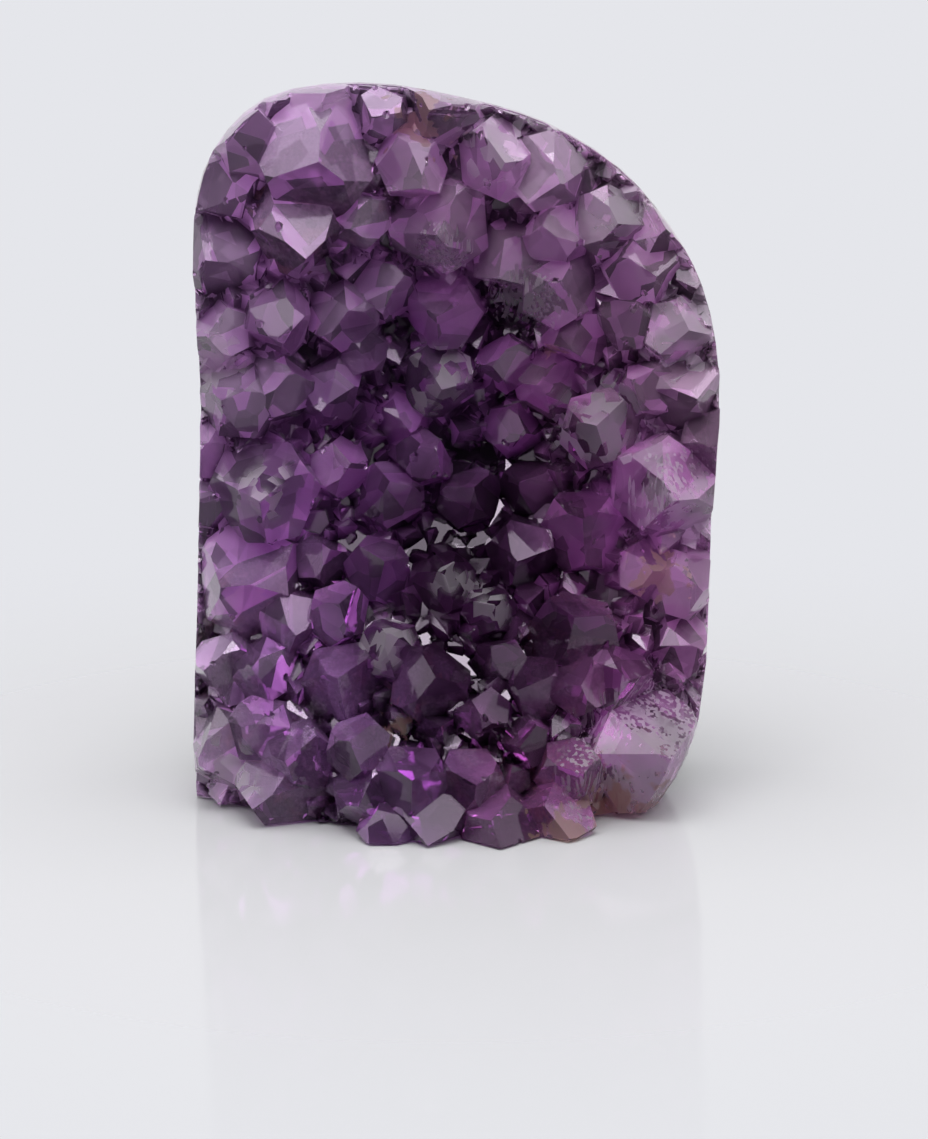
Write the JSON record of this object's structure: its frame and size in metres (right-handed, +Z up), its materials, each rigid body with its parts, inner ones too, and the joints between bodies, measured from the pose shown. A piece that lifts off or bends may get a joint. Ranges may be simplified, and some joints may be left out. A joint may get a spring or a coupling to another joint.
{
  "type": "amethyst geode",
  "caption": "Free-standing piece of an amethyst geode with a sawn flat base, a polished side, a natural rock back and a hollow face of purple quartz crystals, to stand on a shelf.",
  "frame": {"origin": "under the middle of the piece's bounding box, on the sawn base", "axes": "+Z up, -Y towards the front, where the crystal face looks, +X to the viewer's right"},
  "size_m": [0.074, 0.0538, 0.1],
  "materials": {
    "rock": "polished round the side, natural and rough at the back",
    "amethyst": "glassy flat crystal faces, pale at the rim and deep violet in the hollow"
  },
  "bodies": {
    "root": {"rock_matrix": "rock", "amethyst_crust": "amethyst"}
  },
  "joints": []
}
